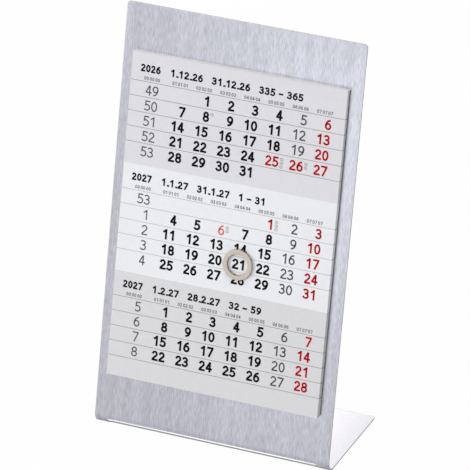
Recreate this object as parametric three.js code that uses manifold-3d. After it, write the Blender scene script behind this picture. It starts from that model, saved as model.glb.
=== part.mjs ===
// A three-month desk calendar. A pad of leaves on a board is taped to the front of a stand that is folded
// from one sheet of brushed steel, and a ring magnet on the pad marks the day.
// Millimetres, +Z up, the pad faces -Y. The origin is the middle of the stand's footprint on the table.
import * as THREE from "three";
import { mergeVertices } from "three/addons/utils/BufferGeometryUtils.js";
import Module from "manifold-3d";

const wasm = await Module();
wasm.setup();

// Stand: overall sizes, the sheet and its fold
const standWidth = 110;
const standHeight = 186.3;
const standDepth = 53;
const lean = THREE.MathUtils.degToRad(12);
const sheetThickness = 0.6;
const insideBendRadius = 4;
const panelCornerRadius = 1.5;
const footCornerRadius = 1.2;

// Slot that relieves the fold: the whole sheet left beside its ends, and how far its edges lie inside the bend
const slotTab = 5;
const slotFromFoot = 1.2;
const slotFromPanel = 1.95;

// Pad: the board and the block of leaves, thin at the glued head and fuller at the loose tail
const padWidth = 98.7;
const padLength = 144.4;
const padBelowTop = 20.1;
const boardThickness = 0.8;
const leavesAtHead = 1.85;
const leavesAtTail = 2.65;
const glueThickness = 0.2;

// Double-sided tape between the board and the panel
const tapeWidth = 18;
const tapeThickness = 0.15;
const tapeFromSide = 8;
const tapeFromEnd = 12;

// Ring magnet: its place is measured from the middle of the page's head
const ringDiameter = 13.5;
const ringBand = 2;
const ringThickness = 1.3;
const ringEdgeRadius = 0.3;
const ringAcross = 7.25;
const ringDown = 83.9;

// Gap left between pieces that touch
const seat = 0.2;

// Facets in a rounded corner, in the fold, in a half-round slot end, and round the ring
const cornerSteps = 5;
const bendSteps = 12;
const slotEndSteps = 8;
const ringSteps = 64;
const ringEdgeSteps = 3;

// The flat blank: lengths along the sheet's middle, from the foot's back edge to the panel's top edge
const foldAngle = Math.PI / 2 + lean;
const outsideBendRadius = insideBendRadius + sheetThickness;
const footRun = standDepth - outsideBendRadius;
const bendRun = foldAngle * (insideBendRadius + sheetThickness / 2);
const bendTop = outsideBendRadius * (1 - Math.cos(foldAngle));
const panelRun = (standHeight - bendTop) / Math.cos(lean);
const blankRun = footRun + bendRun + panelRun;

// Takes a point of the flat blank to its place on the folded sheet: x across it, run along it,
// and depth into the metal from the face that becomes the outside
function fold(x, run, depth) {
  const turned = foldAngle * THREE.MathUtils.clamp((run - footRun) / bendRun, 0, 1);
  const alongFoot = Math.min(run, footRun);
  const upPanel = Math.max(run - footRun - bendRun, 0);
  const radius = outsideBendRadius - depth;
  return new THREE.Vector3(
    x,
    standDepth / 2 - alongFoot - radius * Math.sin(turned) + upPanel * Math.sin(lean),
    outsideBendRadius - radius * Math.cos(turned) + upPanel * Math.cos(lean),
  );
}

// Half the width of an outline with round corners, at a distance in from its straight end
function halfWidthInside(halfWidth, cornerRadius, fromEnd) {
  const short = Math.max(cornerRadius - fromEnd, 0);
  return halfWidth - cornerRadius + Math.sqrt(cornerRadius ** 2 - short ** 2);
}

// Distances in from an end at which a round corner has its facets
function cornerStations(radius, steps) {
  return Array.from({ length: steps + 1 }, (_, i) => radius * (1 - Math.cos((Math.PI / 2) * (i / steps))));
}

// A closed body that follows the fold: as wide as halfWidth says at each run, from one depth to another
function foldedBody(runs, halfWidth, outerDepth, innerDepth) {
  const steps = runs.length - 1;
  const geometry = new THREE.BoxGeometry(1, 1, 1, 1, steps, 1);
  const position = geometry.attributes.position;
  for (let i = 0; i < position.count; i += 1) {
    const run = runs[Math.round((position.getY(i) + 0.5) * steps)];
    const depth = position.getZ(i) > 0 ? outerDepth : innerDepth;
    const point = fold(Math.sign(position.getX(i)) * halfWidth(run), run, depth);
    position.setXYZ(i, point.x, point.y, point.z);
  }
  return geometry;
}

// The blank with its rounded corners, folded
function foldedBlank() {
  const footCorner = cornerStations(footCornerRadius, cornerSteps);
  const panelCorner = cornerStations(panelCornerRadius, cornerSteps).reverse();
  const bend = Array.from({ length: bendSteps + 1 }, (_, i) => footRun + (bendRun * i) / bendSteps);
  const runs = [...footCorner, ...bend, ...panelCorner.map((fromEnd) => blankRun - fromEnd)];
  const halfWidth = (run) => Math.min(
    halfWidthInside(standWidth / 2, footCornerRadius, run),
    halfWidthInside(standWidth / 2, panelCornerRadius, blankRun - run),
  );
  return foldedBody(runs, halfWidth, 0, sheetThickness);
}

// What the slot removes: a long hole with half-round ends in the blank, folded with it
function foldedSlot() {
  const start = footRun + slotFromFoot;
  const end = footRun + bendRun - slotFromPanel;
  const endRadius = (end - start) / 2;
  const firstHalf = cornerStations(endRadius, slotEndSteps);
  const secondHalf = firstHalf.slice(0, -1).reverse();
  const runs = [...firstHalf.map((fromEnd) => start + fromEnd), ...secondHalf.map((fromEnd) => end - fromEnd)];
  const halfLength = standWidth / 2 - slotTab;
  const halfWidth = (run) => halfWidthInside(halfLength, endRadius, Math.min(run - start, end - run));
  const overcut = insideBendRadius / 2;
  return foldedBody(runs, halfWidth, -overcut, sheetThickness + overcut);
}

function toSolid(geometry) {
  const bare = geometry.clone();
  bare.deleteAttribute("normal");
  bare.deleteAttribute("uv");
  const merged = mergeVertices(bare);
  return new wasm.Manifold(new wasm.Mesh({
    numProp: 3,
    vertProperties: new Float32Array(merged.attributes.position.array),
    triVerts: new Uint32Array(merged.index.array),
  }));
}

function toGeometry(solid) {
  const mesh = solid.getMesh();
  const geometry = new THREE.BufferGeometry();
  geometry.setAttribute("position", new THREE.BufferAttribute(mesh.vertProperties, mesh.numProp));
  geometry.setIndex(new THREE.BufferAttribute(mesh.triVerts, 1));
  geometry.computeVertexNormals();
  return geometry;
}

function standGeometry() {
  return toGeometry(toSolid(foldedBlank()).subtract(toSolid(foldedSlot())));
}

// A flat rectangular sheet in the panel's frame, centred across it, with its back at the given height
function sheetGeometry(width, low, high, back, thickness) {
  const outline = new THREE.Shape();
  outline.moveTo(-width / 2, low);
  outline.lineTo(width / 2, low);
  outline.lineTo(width / 2, high);
  outline.lineTo(-width / 2, high);
  outline.closePath();
  const geometry = new THREE.ExtrudeGeometry(outline, { depth: thickness, bevelEnabled: false });
  return geometry.translate(0, 0, back);
}

// The leaves as they lie together: a wedge-like section along the pad, drawn side on and extruded across it
function leafGeometry(width, low, high, back) {
  const section = new THREE.Shape();
  section.moveTo(low, back);
  section.lineTo(high, back);
  section.lineTo(high, back + leavesAtHead);
  section.lineTo(low, back + leavesAtTail);
  section.closePath();
  const geometry = new THREE.ExtrudeGeometry(section, { depth: width, bevelEnabled: false });
  const across = new THREE.Vector3(1, 0, 0);
  const along = new THREE.Vector3(0, 1, 0);
  const out = new THREE.Vector3(0, 0, 1);
  geometry.applyMatrix4(new THREE.Matrix4().makeBasis(along, out, across));
  return geometry.translate(-width / 2, 0, 0);
}

// A flat ring with rounded edges, its back face at height 0 and its axis along Z
function ringGeometry() {
  const edge = Math.min(ringEdgeRadius, ringBand / 2, ringThickness / 2);
  const outer = ringDiameter / 2;
  const inner = outer - ringBand;
  const corners = [
    [outer - edge, edge, -Math.PI / 2],
    [outer - edge, ringThickness - edge, 0],
    [inner + edge, ringThickness - edge, Math.PI / 2],
    [inner + edge, edge, Math.PI],
  ];
  const profile = new THREE.Path();
  for (const [radius, height, from] of corners) {
    profile.absarc(radius, height, edge, from, from + Math.PI / 2, false);
  }
  profile.closePath();
  return new THREE.LatheGeometry(profile.getPoints(ringEdgeSteps), ringSteps).rotateX(Math.PI / 2);
}

// Finishes, one for each kind of surface
const brushedSteel = new THREE.MeshStandardMaterial({ color: "#c3c6cf", roughness: 0.38, metalness: 1 });
const leafPaper = new THREE.MeshStandardMaterial({ color: "#e6e6ea", roughness: 0.85, metalness: 0 });
const greyBoard = new THREE.MeshStandardMaterial({ color: "#6d7276", roughness: 0.9, metalness: 0 });
const paddingGlue = new THREE.MeshStandardMaterial({ color: "#b9b3ab", roughness: 0.5, metalness: 0 });
const foamTape = new THREE.MeshStandardMaterial({ color: "#eeeeea", roughness: 0.8, metalness: 0 });
const coatedMagnet = new THREE.MeshStandardMaterial({ color: "#ccbfaf", roughness: 0.45, metalness: 0 });

function piece(name, geometry, material) {
  const mesh = new THREE.Mesh(geometry, material);
  mesh.name = name;
  return mesh;
}

// The pad in the panel's own frame: X across, Y up the panel from its top edge, Z out of its front face
function pad() {
  const group = new THREE.Group();
  const head = -padBelowTop;
  const tail = head - padLength;
  const boardBack = seat + tapeThickness + seat;
  const leavesBack = boardBack + boardThickness + seat;
  const leavesHead = head - glueThickness - seat;
  const tapeLength = padWidth - 2 * tapeFromSide;
  const upperTape = head - tapeFromEnd - tapeWidth;
  const lowerTape = tail + tapeFromEnd;
  const glueHeight = leavesBack + leavesAtHead - boardBack;

  group.add(
    piece("adhesive_tape_upper", sheetGeometry(tapeLength, upperTape, upperTape + tapeWidth, seat, tapeThickness),
      foamTape),
    piece("adhesive_tape_lower", sheetGeometry(tapeLength, lowerTape, lowerTape + tapeWidth, seat, tapeThickness),
      foamTape),
    piece("backing_board", sheetGeometry(padWidth, tail, leavesHead, boardBack, boardThickness), greyBoard),
    piece("leaf_block", leafGeometry(padWidth, tail, leavesHead, leavesBack), leafPaper),
    piece("head_binding", sheetGeometry(padWidth, head - glueThickness, head, boardBack, glueHeight), paddingGlue),
    pageMarker(tail, leavesHead, leavesBack),
  );
  return group;
}

// The ring lies flat on the front leaf, which slopes because the block is fuller at the tail
function pageMarker(tail, leavesHead, leavesBack) {
  const page = new THREE.Group();
  page.position.set(0, leavesHead, leavesBack + leavesAtHead);
  page.rotation.x = Math.atan2(leavesAtHead - leavesAtTail, leavesHead - tail);
  const ring = piece("date_marker", ringGeometry(), coatedMagnet);
  ring.position.set(ringAcross, -ringDown, seat);
  page.add(ring);
  return page;
}

function calendar() {
  const group = new THREE.Group();
  const padFrame = pad();
  padFrame.position.copy(fold(0, blankRun, 0));
  padFrame.rotation.x = Math.PI / 2 - lean;
  group.add(piece("stand", standGeometry(), brushedSteel), padFrame);
  return group;
}

export default calendar();
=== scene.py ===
# A three-month desk calendar: a pad of printed leaves on a leaning stand of folded, brushed steel.
# Metres, +Z up, the page faces -Y. The sections follow the calendar as it is put together.
import datetime
import math
import random

import bmesh
import bpy
from mathutils import Matrix, Vector


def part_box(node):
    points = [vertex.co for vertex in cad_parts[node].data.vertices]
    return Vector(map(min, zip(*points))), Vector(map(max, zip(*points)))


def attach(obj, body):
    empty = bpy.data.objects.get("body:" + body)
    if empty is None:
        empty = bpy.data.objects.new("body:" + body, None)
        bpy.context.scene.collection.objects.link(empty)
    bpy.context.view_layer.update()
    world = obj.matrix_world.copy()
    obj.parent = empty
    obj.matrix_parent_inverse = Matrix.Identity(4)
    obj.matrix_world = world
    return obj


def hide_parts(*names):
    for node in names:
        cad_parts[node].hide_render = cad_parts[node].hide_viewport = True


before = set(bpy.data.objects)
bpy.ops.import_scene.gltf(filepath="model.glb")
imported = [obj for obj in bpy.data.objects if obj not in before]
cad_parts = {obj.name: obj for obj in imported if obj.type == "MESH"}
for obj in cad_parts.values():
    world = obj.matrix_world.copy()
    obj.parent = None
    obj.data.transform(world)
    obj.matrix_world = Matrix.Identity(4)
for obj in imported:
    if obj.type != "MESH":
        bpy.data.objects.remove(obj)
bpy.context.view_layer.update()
scene = bpy.context.scene
scene.view_settings.view_transform = "Standard"
mm = 0.001


# Camera
# A long lens on the calendar's right, a little above it, as a catalogue photograph is taken.
camera_azimuth = math.radians(23.58)
camera_elevation = math.radians(27.68)
camera_distance = 2.223
camera_aim = Vector((-7.25, 16.10, 81.85)) * mm


def direction(azimuth, elevation):
    return Vector((
        math.sin(azimuth) * math.cos(elevation),
        -math.cos(azimuth) * math.cos(elevation),
        math.sin(elevation),
    ))


camera_data = bpy.data.cameras.new("camera")
camera_data.sensor_width = 36.0
camera_data.lens = 395.1
camera = bpy.data.objects.new("camera", camera_data)
camera.location = camera_aim + camera_distance * direction(camera_azimuth, camera_elevation)
camera.rotation_euler = (math.pi / 2 - camera_elevation, 0, camera_azimuth)
scene.collection.objects.link(camera)
scene.camera = camera


# Table and light
# A pale table that keeps a faint shadow, under a white sky. The main lamp stands low at the front left, so
# the marker's shadow falls up and to the right, and the pad's right edge is in shade. Two weak lamps in
# place of white cards lift the panel from the front and the foot from behind.
table_half_side = 3.0
table_below_foot = 0.05 * mm
table_shown_white = 0.98
lamps_aim = Vector((0, 0, 90)) * mm


def new_material(name):
    material = bpy.data.materials.new(name)
    material.use_nodes = True
    nodes = material.node_tree.nodes
    links = material.node_tree.links
    return material, nodes, links, nodes["Principled BSDF"]


def make_table():
    shape = bmesh.new()
    bmesh.ops.create_grid(shape, x_segments=1, y_segments=1, size=table_half_side)
    bmesh.ops.translate(shape, verts=shape.verts, vec=(0, 0, -table_below_foot))
    mesh = bpy.data.meshes.new("table_top")
    shape.to_mesh(mesh)
    shape.free()
    table = bpy.data.objects.new("table_top", mesh)
    scene.collection.objects.link(table)
    material, nodes, links, principled = new_material("pale_table")
    principled.inputs["Base Color"].default_value = (0.70, 0.685, 0.67, 1)
    principled.inputs["Roughness"].default_value = 0.9
    principled.inputs["Specular IOR Level"].default_value = 0.1
    white = nodes.new("ShaderNodeEmission")
    white.inputs["Strength"].default_value = 1.0
    seen = nodes.new("ShaderNodeLightPath")
    share = nodes.new("ShaderNodeMath")
    share.operation = "MULTIPLY"
    share.inputs[1].default_value = table_shown_white
    mix = nodes.new("ShaderNodeMixShader")
    links.new(seen.outputs["Is Camera Ray"], share.inputs[0])
    links.new(share.outputs[0], mix.inputs["Fac"])
    links.new(principled.outputs["BSDF"], mix.inputs[1])
    links.new(white.outputs["Emission"], mix.inputs[2])
    links.new(mix.outputs[0], nodes["Material Output"].inputs["Surface"])
    mesh.materials.append(material)


def make_sky():
    world = bpy.data.worlds.new("white_sky")
    world.use_nodes = True
    scene.world = world
    nodes, links = world.node_tree.nodes, world.node_tree.links
    seen = nodes.new("ShaderNodeLightPath")
    plain = nodes["Background"]
    plain.inputs["Color"].default_value = (0.97, 0.98, 1.0, 1)
    plain.inputs["Strength"].default_value = 0.62
    white = nodes.new("ShaderNodeBackground")
    white.inputs["Strength"].default_value = 1.0
    either = nodes.new("ShaderNodeMath")
    either.operation = "MAXIMUM"
    through = nodes.new("ShaderNodeMath")
    through.operation = "MAXIMUM"
    mix = nodes.new("ShaderNodeMixShader")
    links.new(seen.outputs["Is Camera Ray"], either.inputs[0])
    links.new(seen.outputs["Is Glossy Ray"], either.inputs[1])
    links.new(either.outputs[0], through.inputs[0])
    links.new(seen.outputs["Is Transmission Ray"], through.inputs[1])
    links.new(through.outputs[0], mix.inputs["Fac"])
    links.new(plain.outputs[0], mix.inputs[1])
    links.new(white.outputs[0], mix.inputs[2])
    links.new(mix.outputs[0], nodes["World Output"].inputs["Surface"])


def soft_lamp(name, azimuth, elevation, distance, size, power):
    data = bpy.data.lights.new(name, "AREA")
    data.shape = "SQUARE"
    data.size = size
    data.energy = power
    lamp = bpy.data.objects.new(name, data)
    away = direction(math.radians(azimuth), math.radians(elevation))
    lamp.location = lamps_aim + away * distance
    lamp.rotation_euler = (-away).to_track_quat("-Z", "Y").to_euler()
    scene.collection.objects.link(lamp)
    return lamp


make_table()
make_sky()
main_lamp = soft_lamp("main_lamp", azimuth=-40, elevation=10, distance=2.2, size=0.55, power=14.0)
main_lamp.visible_glossy = False
soft_lamp("top_lamp", azimuth=20, elevation=72, distance=1.6, size=1.1, power=6.0)
soft_lamp("panel_card", azimuth=-3, elevation=3, distance=0.48, size=0.1, power=0.12)
foot_card = soft_lamp("foot_card", azimuth=203.6, elevation=27.7, distance=0.8, size=0.5, power=1.08)
foot_card.data.color = (1.0, 0.96, 0.88)


# Stand
# One sheet of stainless steel, cut with its slot and folded once over a bar. Its outer side is brushed along
# its length. Its inner side, which is the foot's top, keeps the smooth grey of the rolling mill, and the cut
# edges are duller, with the burr taken off.
lean = math.radians(12)
bend_radius = 4.6 * mm
burr_radius = 0.12 * mm
sharp_angle = math.radians(35)
merge_distance = 0.002 * mm
flat_angle = math.radians(0.4)
cut_edge_limit = 0.7
brushed_side, cut_edge, mill_side = 0, 1, 2
stand_low = Vector(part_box("stand")[0])
panel_foot = Vector((0, stand_low.y - bend_radius * (math.tan(math.pi / 4 + lean / 2) - 1), 0))
panel_up = Vector((0, math.sin(lean), math.cos(lean)))
panel_out = Vector((0, -math.cos(lean), math.sin(lean)))
bend_axis = Vector((0, stand_low.y + bend_radius, stand_low.z + bend_radius))


def add_piece(name, shape, materials, nodes=(), smooth_angle=None):
    mesh = bpy.data.meshes.new(name)
    shape.to_mesh(mesh)
    shape.free()
    for material in materials:
        mesh.materials.append(material)
    if smooth_angle:
        mesh.polygons.foreach_set("use_smooth", [True] * len(mesh.polygons))
        mesh.set_sharp_from_angle(angle=smooth_angle)
    piece = bpy.data.objects.new(name, mesh)
    scene.collection.objects.link(piece)
    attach(piece, "root")
    if nodes:
        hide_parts(*nodes)
    return piece


def stretched_noise(nodes, links, scale, detail=3.0):
    place = nodes.new("ShaderNodeTexCoord")
    stretch = nodes.new("ShaderNodeMapping")
    stretch.inputs["Scale"].default_value = scale
    noise = nodes.new("ShaderNodeTexNoise")
    noise.inputs["Scale"].default_value = 1.0
    noise.inputs["Detail"].default_value = detail
    links.new(place.outputs["Object"], stretch.inputs["Vector"])
    links.new(stretch.outputs["Vector"], noise.inputs["Vector"])
    return noise.outputs["Fac"]


def ramp(nodes, links, value, stops):
    node = nodes.new("ShaderNodeValToRGB")
    for element, (position, colour) in zip(node.color_ramp.elements, stops):
        element.position = position
        element.color = (*colour, 1)
    links.new(value, node.inputs["Fac"])
    return node.outputs["Color"]


def scaled(nodes, links, value, low, high):
    node = nodes.new("ShaderNodeMapRange")
    node.inputs["To Min"].default_value = low
    node.inputs["To Max"].default_value = high
    links.new(value, node.inputs["Value"])
    return node.outputs["Result"]


def bump(nodes, links, principled, height, strength, distance):
    node = nodes.new("ShaderNodeBump")
    node.inputs["Strength"].default_value = strength
    node.inputs["Distance"].default_value = distance
    links.new(height, node.inputs["Height"])
    links.new(node.outputs["Normal"], principled.inputs["Normal"])


def brushed_steel():
    material, nodes, links, principled = new_material("brushed_steel")
    principled.inputs["Metallic"].default_value = 1.0
    fine = stretched_noise(nodes, links, (3300, 330, 330))
    broad = stretched_noise(nodes, links, (260, 7, 7), detail=2.0)
    broad_share = 0.32
    both = nodes.new("ShaderNodeMath")
    both.operation = "MULTIPLY_ADD"
    both.inputs[1].default_value = broad_share
    links.new(broad, both.inputs[0])
    links.new(fine, both.inputs[2])
    tones = [(0.49, (0.585, 0.597, 0.668)), (0.83, (0.82, 0.834, 0.928))]
    colour = ramp(nodes, links, both.outputs[0], tones)
    links.new(colour, principled.inputs["Base Color"])
    links.new(scaled(nodes, links, fine, 0.34, 0.48), principled.inputs["Roughness"])
    bump(nodes, links, principled, fine, 0.45, 0.02 * mm)
    return material


def cut_steel():
    material, nodes, links, principled = new_material("cut_steel_edge")
    principled.inputs["Metallic"].default_value = 1.0
    grain = stretched_noise(nodes, links, (1500, 1500, 1500))
    tones = [(0.3, (0.30, 0.30, 0.30)), (0.7, (0.46, 0.46, 0.46))]
    links.new(ramp(nodes, links, grain, tones), principled.inputs["Base Color"])
    principled.inputs["Roughness"].default_value = 0.55
    return material


def mill_steel():
    material, nodes, links, principled = new_material("mill_steel")
    principled.inputs["Metallic"].default_value = 1.0
    grain = stretched_noise(nodes, links, (1100, 300, 300))
    tones = [(0.3, (0.675, 0.675, 0.725)), (0.7, (0.72, 0.72, 0.77))]
    links.new(ramp(nodes, links, grain, tones), principled.inputs["Base Color"])
    principled.inputs["Roughness"].default_value = 0.42
    return material


def part_of_sheet(face):
    centre = face.calc_center_median()
    from_axis = Vector((0, centre.y - bend_axis.y, centre.z - bend_axis.z))
    if from_axis.y > 0 and from_axis.z < 0:
        outward = Vector((0, 0, -1))
    elif from_axis.dot(panel_up) > 0:
        outward = panel_out
    else:
        outward = from_axis.normalized()
    side = face.normal.dot(outward)
    if abs(side) < cut_edge_limit:
        return cut_edge
    return brushed_side if side > 0 else mill_side


def make_stand():
    shape = bmesh.new()
    shape.from_mesh(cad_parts["stand"].data)
    bmesh.ops.remove_doubles(shape, verts=shape.verts, dist=merge_distance)
    bmesh.ops.dissolve_limit(shape, angle_limit=flat_angle, verts=shape.verts, edges=shape.edges)
    for face in shape.faces:
        face.material_index = part_of_sheet(face)
    inner = [edge for edge in shape.edges if len(edge.link_faces) == 2]
    sharp = [edge for edge in inner if edge.calc_face_angle() > sharp_angle]
    bmesh.ops.bevel(shape, geom=sharp, offset=burr_radius, offset_type="OFFSET", segments=2, profile=0.5,
                    affect="EDGES", material=-1, clamp_overlap=True)
    finishes = [brushed_steel(), cut_steel(), mill_steel()]
    add_piece("steel_stand", shape, finishes, ["stand"], sharp_angle)


make_stand()


# Tape and backing board
# Two strips of white double-sided tape hold a grey pulp board on the panel. The board's back layer is
# painted near-black, as painted shade for the gap behind it, which shows as a dark line beside the leaves.
# The painted band's front is measured from the panel.
painted_shade_front = 1.1 * mm


def speckled(name, dark, light, grain, roughness):
    material, nodes, links, principled = new_material(name)
    noise = stretched_noise(nodes, links, (grain, grain, grain), detail=5.0)
    links.new(ramp(nodes, links, noise, [(0.3, dark), (0.7, light)]), principled.inputs["Base Color"])
    principled.inputs["Roughness"].default_value = roughness
    bump(nodes, links, principled, noise, 0.3, 0.03 * mm)
    return material


def finish_node(node, material):
    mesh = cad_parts[node].data
    mesh.materials.clear()
    mesh.materials.append(material)


def distance_along(nodes, links, way):
    place = nodes.new("ShaderNodeTexCoord")
    along = nodes.new("ShaderNodeVectorMath")
    along.operation = "DOT_PRODUCT"
    along.inputs[1].default_value = way
    links.new(place.outputs["Object"], along.inputs[0])
    return along.outputs["Value"]


def lined_board():
    material, nodes, links, principled = new_material("lined_board")
    past_painted_shade = nodes.new("ShaderNodeMath")
    past_painted_shade.operation = "GREATER_THAN"
    past_painted_shade.inputs[1].default_value = panel_foot.dot(panel_out) + painted_shade_front
    links.new(distance_along(nodes, links, panel_out), past_painted_shade.inputs[0])
    pulp = stretched_noise(nodes, links, (1400, 1400, 1400), detail=5.0)
    mix = nodes.new("ShaderNodeMix")
    mix.data_type = "RGBA"
    # Painted shade: the board's back layer is near-black, in place of the shadow in the gap between board
    # and panel.
    mix.inputs["A"].default_value = (0.012, 0.017, 0.024, 1)
    links.new(past_painted_shade.outputs[0], mix.inputs["Factor"])
    greys = [(0.3, (0.44, 0.475, 0.46)), (0.7, (0.56, 0.60, 0.58))]
    links.new(ramp(nodes, links, pulp, greys), mix.inputs["B"])
    links.new(mix.outputs["Result"], principled.inputs["Base Color"])
    principled.inputs["Roughness"].default_value = 0.9
    bump(nodes, links, principled, pulp, 0.3, 0.03 * mm)
    return material


white_tape = speckled("white_tape", (0.72, 0.72, 0.70), (0.82, 0.82, 0.80), 900, 0.8)
for strip in ("adhesive_tape_upper", "adhesive_tape_lower"):
    finish_node(strip, white_tape)
finish_node("backing_board", lined_board())


# Leaves
# Offset paper, trimmed together and glued at the head only, so the block is a little fuller at its tail.
# Each leaf is one thin sheet. The printed tints and lines run off the trimmed edges, and the leaves hang
# just past the board's tail.
leaf_points = [point.co - panel_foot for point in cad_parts["leaf_block"].data.vertices]
leaves_tail = min(point.dot(panel_up) for point in leaf_points)
leaves_head = max(point.dot(panel_up) for point in leaf_points)
leaves_back = min(point.dot(panel_out) for point in leaf_points)
tail_front = max(point.dot(panel_out) for point in leaf_points)
near_head = leaves_head - 1.0 * mm
head_points = [point for point in leaf_points if point.dot(panel_up) > near_head]
head_front = max(point.dot(panel_out) for point in head_points)
page_half_width = max(point.x for point in leaf_points)
page_length = leaves_head - leaves_tail
leaf_count = 14
leaf_thickness = 0.10 * mm
leaf_steps = 12
uneven_tail = 0.14 * mm
uneven_side = 0.08 * mm
glue_points = [point.co - panel_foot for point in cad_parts["head_binding"].data.vertices]
glue_back = 0.1 * mm
glue_inset = 0.05 * mm
glue_dips = (0.02 * mm, 0.06 * mm)
front_leaf_to_glue = 0.03 * mm
head_trim = 0.15 * mm
tail_overhang = 0.3 * mm
pad_head = max(point.dot(panel_up) for point in glue_points) - head_trim
first_rule = 12.3 * mm
row_pitch = 6.75 * mm
month_pitch = 48.05 * mm
rule_width = 0.20 * mm
rules_in_month = 5
second_month = 48.95 * mm
third_month = 97.2 * mm


def leaf_height(share, down):
    fullness = down / page_length
    front = head_front + (tail_front - head_front) * fullness
    return leaves_back + (front - leaves_back) * share


def on_panel(x, up, out):
    return panel_foot + Vector((x, 0, 0)) + panel_up * up + panel_out * out


def add_leaf(shape, share, head, tail, trim):
    grid = bmesh.ops.create_grid(shape, x_segments=1, y_segments=leaf_steps, size=0.5)["verts"]
    for vert in grid:
        up = head + (tail - head) * (0.5 - vert.co.y)
        x = vert.co.x * 2 * (page_half_width + trim)
        vert.co = on_panel(x, up, leaf_height(share, leaves_head - up) - leaf_thickness)
    faces = list({face for vert in grid for face in vert.link_faces})
    lifted = bmesh.ops.extrude_face_region(shape, geom=faces)["geom"]
    moved = [item for item in lifted if isinstance(item, bmesh.types.BMVert)]
    bmesh.ops.translate(shape, verts=moved, vec=panel_out * leaf_thickness)


def distance_below_head(nodes, links):
    down = nodes.new("ShaderNodeMath")
    down.operation = "SUBTRACT"
    down.inputs[0].default_value = leaves_head + panel_foot.dot(panel_up)
    links.new(distance_along(nodes, links, panel_up), down.inputs[1])
    return down.outputs[0]


def field_tints(nodes, links, down):
    tint = None
    for start, colour in ((second_month, (0.834, 0.846, 0.868)), (third_month, (0.708, 0.703, 0.722))):
        past = nodes.new("ShaderNodeMath")
        past.operation = "GREATER_THAN"
        past.inputs[1].default_value = start
        mix = nodes.new("ShaderNodeMix")
        mix.data_type = "RGBA"
        mix.inputs["A"].default_value = (0.735, 0.725, 0.758, 1)
        mix.inputs["B"].default_value = (*colour, 1)
        links.new(down, past.inputs[0])
        links.new(past.outputs[0], mix.inputs["Factor"])
        if tint:
            links.new(tint, mix.inputs["A"])
        tint = mix.outputs["Result"]
    return tint


def printed_paper(name, is_edge):
    material, nodes, links, principled = new_material(name)
    down = distance_below_head(nodes, links)
    colour = field_tints(nodes, links, down)
    fibres = stretched_noise(nodes, links, (700, 700, 700), detail=6.0)
    # The edge material's tone range is set darker than the page's: painted shade for the leaves' sides,
    # which face away from the main lamp.
    darkest, lightest = (0.90, 1.00) if is_edge else (0.95, 1.04)
    cloud = scaled(nodes, links, fibres, darkest, lightest)
    tone = nodes.new("ShaderNodeVectorMath")
    tone.operation = "SCALE"
    links.new(colour, tone.inputs[0])
    links.new(cloud, tone.inputs["Scale"])
    surface = tone.outputs["Vector"]
    if is_edge:
        surface = add_rule_marks(nodes, links, down, surface)
    links.new(surface, principled.inputs["Base Color"])
    principled.inputs["Roughness"].default_value = 0.8
    principled.inputs["Specular IOR Level"].default_value = 0.3
    bump(nodes, links, principled, fibres, 0.25, 0.01 * mm)
    return material


def add_rule_marks(nodes, links, down, surface):
    def math_node(operation, first, second):
        node = nodes.new("ShaderNodeMath")
        node.operation = operation
        for socket, value in zip(node.inputs, (first, second)):
            if isinstance(value, (int, float)):
                socket.default_value = value
            else:
                links.new(value, socket)
        return node.outputs[0]

    from_rule = math_node("SUBTRACT", down, first_rule - rule_width)
    in_month = math_node("FLOORED_MODULO", from_rule, month_pitch)
    in_row = math_node("FLOORED_MODULO", in_month, row_pitch)
    on_line = math_node("LESS_THAN", in_row, 2 * rule_width)
    on_rows = math_node("LESS_THAN", in_month, (rules_in_month - 0.5) * row_pitch)
    marked = math_node("MULTIPLY", on_line, on_rows)
    mix = nodes.new("ShaderNodeMix")
    mix.data_type = "RGBA"
    mix.inputs["B"].default_value = (0.28, 0.28, 0.30, 1)
    links.new(marked, mix.inputs["Factor"])
    links.new(surface, mix.inputs["A"])
    return mix.outputs["Result"]


def make_leaves():
    spread = random.Random(12)
    block = bmesh.new()
    for i in range(leaf_count - 1):
        tail = leaves_tail - tail_overhang + spread.uniform(0.0, uneven_tail)
        trim = spread.uniform(-uneven_side, 0.0)
        add_leaf(block, (i + 1) / leaf_count, leaves_head, tail, trim)
    front = bmesh.new()
    add_leaf(front, 1.0, pad_head, leaves_tail - tail_overhang, 0.0)
    for shape in (block, front):
        bmesh.ops.recalc_face_normals(shape, faces=shape.faces)
    add_piece("leaves_behind", block, [printed_paper("leaf_edges", True)], ["leaf_block"])
    add_piece("front_leaf", front, [printed_paper("front_page", False)], ["leaf_block"])


def make_head_glue():
    uneven = random.Random(5)
    shape = bmesh.new()
    front = head_front - leaf_thickness - front_leaf_to_glue
    grid = bmesh.ops.create_grid(shape, x_segments=90, y_segments=4, size=0.5)["verts"]
    for vert in grid:
        out = glue_back + (front - glue_back) * (vert.co.y + 0.5)
        x = vert.co.x * 2 * (page_half_width - glue_inset)
        vert.co = on_panel(x, pad_head - uneven.uniform(*glue_dips), out)
    lowered = bmesh.ops.extrude_face_region(shape, geom=shape.faces[:])["geom"]
    for item in lowered:
        if isinstance(item, bmesh.types.BMVert):
            above_leaves = (item.co - panel_foot).dot(panel_up) - leaves_head - glue_inset
            item.co -= panel_up * above_leaves
    bmesh.ops.recalc_face_normals(shape, faces=shape.faces)
    glue = speckled("padding_glue", (0.76, 0.74, 0.71), (0.86, 0.84, 0.81), 700, 0.5)
    add_piece("head_glue", shape, [glue], ["head_binding"], math.radians(60))


make_leaves()
make_head_glue()


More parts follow.
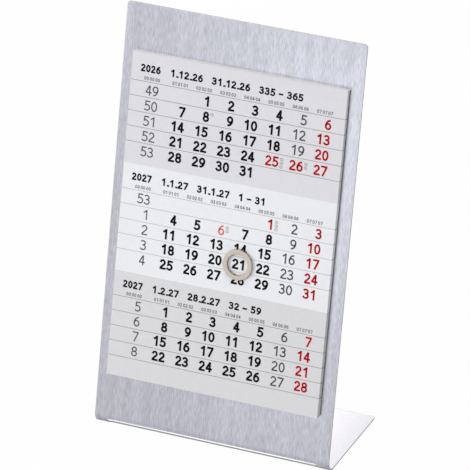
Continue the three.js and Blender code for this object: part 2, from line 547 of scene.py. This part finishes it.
# Print
# The page shows three months in plain numbers. Every figure is a pen stroke of even width, printed a hair
# above the paper, and thin grey lines part the weeks. Each month is set a little differently, so its numbers
# have their own shift and baseline.
page_tilt = math.atan2(tail_front - head_front, page_length)
page_up = panel_up * math.cos(page_tilt) - panel_out * math.sin(page_tilt)
page_out = panel_out * math.cos(page_tilt) + panel_up * math.sin(page_tilt)
page_head = on_panel(0, leaves_head, head_front)
page_place = Matrix.Translation(page_head) @ Matrix((
    (1, page_up.x, page_out.x, 0),
    (0, page_up.y, page_out.y, 0),
    (0, page_up.z, page_out.z, 0),
    (0, 0, 0, 1),
))
ink_height = 0.03 * mm
ink_sunk = 0.02 * mm
darkest_ink = 0.88
curve_step = math.radians(15)


def arc(x, y, wide, high, start, end):
    start, end = math.radians(start), math.radians(end)
    steps = max(2, math.ceil(abs(end - start) / curve_step))
    angles = [start + (end - start) * i / steps for i in range(steps + 1)]
    return [(x + wide * math.cos(a), y + high * math.sin(a)) for a in angles]


def oval(x, y, wide, high):
    return arc(x, y, wide, high, 0, 360)[:-1]


# Each figure is a list of strokes in a unit box, from the bottom left, with whether the stroke is closed.
figures = {
    "0": [(oval(0.5, 0.5, 0.5, 0.5), True)],
    "1": [([(0.16, 0.79), (0.62, 0.98)], False), ([(0.66, 1.0), (0.66, 0.0)], False)],
    "2": [(arc(0.46, 0.72, 0.46, 0.28, 155, -25) + [(0.06, 0.12), (0.04, 0.0), (1.0, 0.0)], False)],
    "3": [
        (arc(0.42, 0.765, 0.46, 0.235, 140, -90), False),
        (arc(0.42, 0.265, 0.54, 0.265, 90, -145), False),
    ],
    "4": [
        ([(0.66, 1.0), (0.0, 0.34), (0.0, 0.27), (1.0, 0.27)], False),
        ([(0.72, 1.0), (0.72, 0.0)], False),
    ],
    "5": [
        ([(0.92, 1.0), (0.16, 1.0), (0.12, 0.56)] + arc(0.40, 0.31, 0.58, 0.31, 95, -135), False),
    ],
    "6": [
        (oval(0.5, 0.31, 0.5, 0.31), True),
        (arc(0.86, 0.33, 0.86, 0.66, 96, 178), False),
    ],
    "7": [([(0.0, 1.0), (1.0, 1.0), (0.98, 0.90), (0.32, 0.0)], False)],
    "8": [(oval(0.5, 0.755, 0.42, 0.245), True), (oval(0.5, 0.265, 0.5, 0.265), True)],
    "9": [
        (oval(0.5, 0.69, 0.5, 0.31), True),
        (arc(0.14, 0.67, 0.86, 0.66, -84, -2), False),
    ],
    ".": [([(0.1, 0.0), (0.34, 0.0)], False)],
    "-": [([(0.0, 0.42), (0.9, 0.42)], False)],
}


class Type:
    """One size and weight of figures: height, width, step from one to the next and pen width."""

    def __init__(self, height, width, step, pen):
        self.height, self.width, self.step, self.pen = height * mm, width * mm, step * mm, pen * mm

    def advance(self, sign):
        return self.step * (0.5 if sign in ". " else 1.0)

    def length(self, text):
        return sum(self.advance(sign) for sign in text) - (self.step - self.width)


def with_square_ends(points, pen):
    first = Vector(points[0]) + (Vector(points[0]) - Vector(points[1])).normalized() * pen / 2
    last = Vector(points[-1]) + (Vector(points[-1]) - Vector(points[-2])).normalized() * pen / 2
    return [tuple(first), *points[1:-1], tuple(last)]


def add_stroke(shape, points, closed):
    verts = [shape.verts.new((x, y, -ink_sunk)) for x, y in points]
    pairs = list(zip(verts, verts[1:] + verts[:1])) if closed else list(zip(verts, verts[1:]))
    for first, second in pairs:
        shape.edges.new((first, second))


def write(shape, kind, text, left, baseline):
    wide, high = kind.width - kind.pen, kind.height - kind.pen
    for sign in text:
        start_x, start_y = left + kind.pen / 2, baseline + kind.pen / 2
        for points, closed in figures.get(sign, []):
            inside = [(start_x + x * wide, start_y + y * high) for x, y in points]
            add_stroke(shape, inside if closed else with_square_ends(inside, kind.pen), closed)
        left += kind.advance(sign)


def write_right(shape, kind, text, right, baseline):
    write(shape, kind, text, right - kind.length(text), baseline)


def ink(name, colour):
    material, nodes, links, principled = new_material(name)
    tone = stretched_noise(nodes, links, (1800, 1800, 1800), detail=4.0)
    dark = tuple(darkest_ink * part for part in colour)
    links.new(ramp(nodes, links, tone, [(0.3, dark), (0.7, colour)]), principled.inputs["Base Color"])
    principled.inputs["Roughness"].default_value = 0.55
    principled.inputs["Specular IOR Level"].default_value = 0.05
    return material


def print_piece(name, shape, pen, material):
    walls = bmesh.ops.extrude_edge_only(shape, edges=shape.edges[:])["geom"]
    raised = [item for item in walls if isinstance(item, bmesh.types.BMVert)]
    bmesh.ops.translate(shape, verts=raised, vec=(0, 0, ink_sunk + ink_height))
    bmesh.ops.transform(shape, matrix=page_place, verts=shape.verts)
    piece = add_piece(name, shape, [material])
    stroke = piece.modifiers.new("stroke", "SOLIDIFY")
    stroke.thickness = pen
    stroke.offset = 0.0
    stroke.use_even_offset = True
    stroke.use_rim = True


day_type = Type(height=4.58, width=2.94, step=3.22, pen=0.93)
sunday_type = Type(height=4.58, width=2.88, step=3.22, pen=0.83)
saturday_type = Type(height=4.50, width=2.80, step=3.20, pen=0.65)
week_type = Type(height=4.45, width=2.74, step=3.12, pen=0.54)
title_type = Type(height=3.30, width=2.24, step=2.55, pen=0.73)
year_type = Type(height=3.30, width=2.08, step=2.35, pen=0.71)
heading_type = Type(height=1.55, width=0.94, step=1.13, pen=0.25)
week_right = -35.9 * mm
day_right = -22.8 * mm
day_pitch = 11.07 * mm
title_left = -31.3 * mm
title_gap = 4.2 * mm
title_above_rule = 4.2 * mm
heading_above_rule = 0.75 * mm
heading_gap = 0.52 * mm
note_radius = 0.66 * mm
note_height = 0.85 * note_radius
note_bar = 0.8 * note_radius
note_pitch = 1.63 * mm
note_from_number = 1.3 * mm
note_above_baseline = 3.72 * mm
note_pen = 0.20 * mm
months = [(2026, 12), (2027, 1), (2027, 2)]
middle_month = 1
number_shift = {12: -0.25 * mm, 1: 0.10 * mm, 2: 0.0}
baseline_below_rule = {12: 5.8 * mm, 1: 5.6 * mm, 2: 5.5 * mm}
holidays = {(12, 25): 3, (12, 26): 2, (1, 1): 3}
half_holidays = {(1, 6): 2}
noted_days = {(12, 8): 1}


def month_days(year, month):
    day = datetime.date(year, month, 1)
    while day.month == month:
        yield day
        day += datetime.timedelta(days=1)


def print_title(sheets, year, month, rule):
    days = list(month_days(year, month))
    baseline = -(rule - title_above_rule)
    write_right(sheets["title"], year_type, str(year), week_right, baseline)
    left = title_left
    dates = [f"{day.day}.{day.month}.{day.year % 100}" for day in (days[0], days[-1])]
    day_numbers = [str(day.timetuple().tm_yday) for day in (days[0], days[-1])]
    for text in (*dates, " - ".join(day_numbers)):
        write(sheets["title"], title_type, text, left, baseline)
        left += title_type.length(text) + title_gap


def print_headings(sheets, rule):
    baseline = -(rule - heading_above_rule)
    for column in range(8):
        right = week_right if column == 0 else day_right + (column - 1) * day_pitch
        for _ in range(3):
            text = f"0{column}"
            write_right(sheets["heading"], heading_type, text, right, baseline)
            right -= heading_type.length(text) + heading_gap


def add_notes(sheets, count, right, baseline):
    x = right + note_from_number
    y = baseline + note_above_baseline
    for _ in range(count):
        add_stroke(sheets["note"], oval(x, y, note_radius, note_height), True)
        add_stroke(sheets["note"], [(x, y - note_bar / 2), (x, y + note_bar / 2)], False)
        y -= note_pitch


def print_day(sheets, day, rule):
    month, year = day.month, day.year
    first = datetime.date(year, month, 1)
    row = (day.day - 1 + first.weekday()) // 7
    right = day_right + day.weekday() * day_pitch + number_shift[month]
    baseline = -(rule + row * row_pitch + baseline_below_rule[month])
    key = (month, day.day)
    notes = holidays.get(key) or half_holidays.get(key) or noted_days.get(key) or 0
    name, kind = "day", day_type
    if key in half_holidays:
        name, kind = "half_holiday", saturday_type
    elif key in holidays or day.weekday() == 6:
        name, kind = "sunday", sunday_type
    elif day.weekday() == 5:
        name, kind = "saturday", saturday_type
    write_right(sheets[name], kind, str(day.day), right, baseline)
    add_notes(sheets, notes, right, baseline)
    if day.day == 1 or day.weekday() == 0:
        week = str(day.isocalendar()[1])
        write_right(sheets["week"], week_type, week, week_right + number_shift[month], baseline)


def print_page():
    black_ink = ink("black_ink", (0.006, 0.008, 0.008))
    pens = {
        "title": (title_type.pen, black_ink),
        "day": (day_type.pen, black_ink),
        "sunday": (sunday_type.pen, ink("red_ink", (0.47, 0.003, 0.004))),
        "half_holiday": (saturday_type.pen, ink("light_red_ink", (0.80, 0.14, 0.09))),
        "saturday": (saturday_type.pen, ink("grey_ink", (0.078, 0.092, 0.093))),
        "week": (week_type.pen, ink("pale_grey_ink", (0.088, 0.102, 0.104))),
        "heading": (heading_type.pen, ink("fine_grey_ink", (0.12, 0.12, 0.13))),
        "note": (note_pen, ink("note_ink", (0.30, 0.30, 0.31))),
        "rule": (rule_width, ink("rule_ink", (0.27, 0.27, 0.28))),
        "pale_rule": (rule_width, ink("pale_rule_ink", (0.46, 0.46, 0.48))),
    }
    sheets = {name: bmesh.new() for name in pens}
    for i, (year, month) in enumerate(months):
        rule = first_rule + i * month_pitch
        rule_sheet = sheets["pale_rule" if i == middle_month else "rule"]
        print_title(sheets, year, month, rule)
        print_headings(sheets, rule)
        for day in month_days(year, month):
            print_day(sheets, day, rule)
        for row in range(rules_in_month):
            y = -(rule + row * row_pitch)
            add_stroke(rule_sheet, [(-page_half_width, y), (page_half_width, y)], False)
    for name, (pen, material) in pens.items():
        print_piece(f"print_{name}", sheets[name], pen, material)


print_page()


# Date marker
# A ring magnet with a beige coat and rounded edges, held to the steel through the leaves.
# It lies flat on the front leaf, round one day.
ring_low, ring_high = [Vector(corner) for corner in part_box("date_marker")]
ring_centre = (ring_low + ring_high) / 2
ring_radius = (ring_high.x - ring_low.x) / 2
ring_band = 2.0 * mm
ring_thickness = 1.3 * mm
ring_edge = 0.36 * mm
ring_steps = 128


def coated_ring():
    material, nodes, links, principled = new_material("coated_magnet")
    place = nodes.new("ShaderNodeTexCoord")
    from_middle = nodes.new("ShaderNodeVectorMath")
    from_middle.operation = "DISTANCE"
    from_middle.inputs[1].default_value = ring_centre
    links.new(place.outputs["Object"], from_middle.inputs[0])
    rings = nodes.new("ShaderNodeTexNoise")
    rings.noise_dimensions = "1D"
    rings.inputs["Scale"].default_value = 2600
    links.new(from_middle.outputs["Value"], rings.inputs["W"])
    facing = nodes.new("ShaderNodeNewGeometry")
    level = nodes.new("ShaderNodeVectorMath")
    level.operation = "DOT_PRODUCT"
    level.inputs[1].default_value = page_out
    links.new(facing.outputs["Normal"], level.inputs[0])
    beiges = [(0.3, (0.57, 0.49, 0.40)), (0.7, (0.64, 0.555, 0.46))]
    coat = ramp(nodes, links, rings.outputs["Fac"], beiges)
    wall = ramp(nodes, links, level.outputs["Value"], [(0.25, (0, 0, 0)), (0.75, (1, 1, 1))])
    mix = nodes.new("ShaderNodeMix")
    mix.data_type = "RGBA"
    mix.inputs["A"].default_value = (0.26, 0.25, 0.235, 1)
    links.new(wall, mix.inputs["Factor"])
    links.new(coat, mix.inputs["B"])
    links.new(mix.outputs["Result"], principled.inputs["Base Color"])
    principled.inputs["Roughness"].default_value = 0.45
    bump(nodes, links, principled, rings.outputs["Fac"], 0.2, 0.01 * mm)
    return material


def make_ring():
    shape = bmesh.new()
    half = ring_thickness / 2
    corners = [(ring_radius, -half), (ring_radius, half), (ring_radius - ring_band, half),
               (ring_radius - ring_band, -half)]
    verts = [shape.verts.new((radius, 0, height)) for radius, height in corners]
    edges = [shape.edges.new((verts[i], verts[(i + 1) % 4])) for i in range(4)]
    bmesh.ops.spin(shape, geom=verts + edges, cent=(0, 0, 0), axis=(0, 0, 1), angle=2 * math.pi,
                   steps=ring_steps, use_merge=True)
    bmesh.ops.remove_doubles(shape, verts=shape.verts, dist=merge_distance)
    bmesh.ops.recalc_face_normals(shape, faces=shape.faces)
    round_edges = [edge for edge in shape.edges if edge.calc_face_angle() > sharp_angle]
    bmesh.ops.bevel(shape, geom=round_edges, offset=ring_edge, offset_type="OFFSET", segments=4, profile=0.5,
                    affect="EDGES", material=-1, clamp_overlap=True)
    place = page_place.copy()
    place.translation = ring_centre
    bmesh.ops.transform(shape, matrix=place, verts=shape.verts)
    add_piece("ring_marker", shape, [coated_ring()], ["date_marker"], math.radians(40))


make_ring()
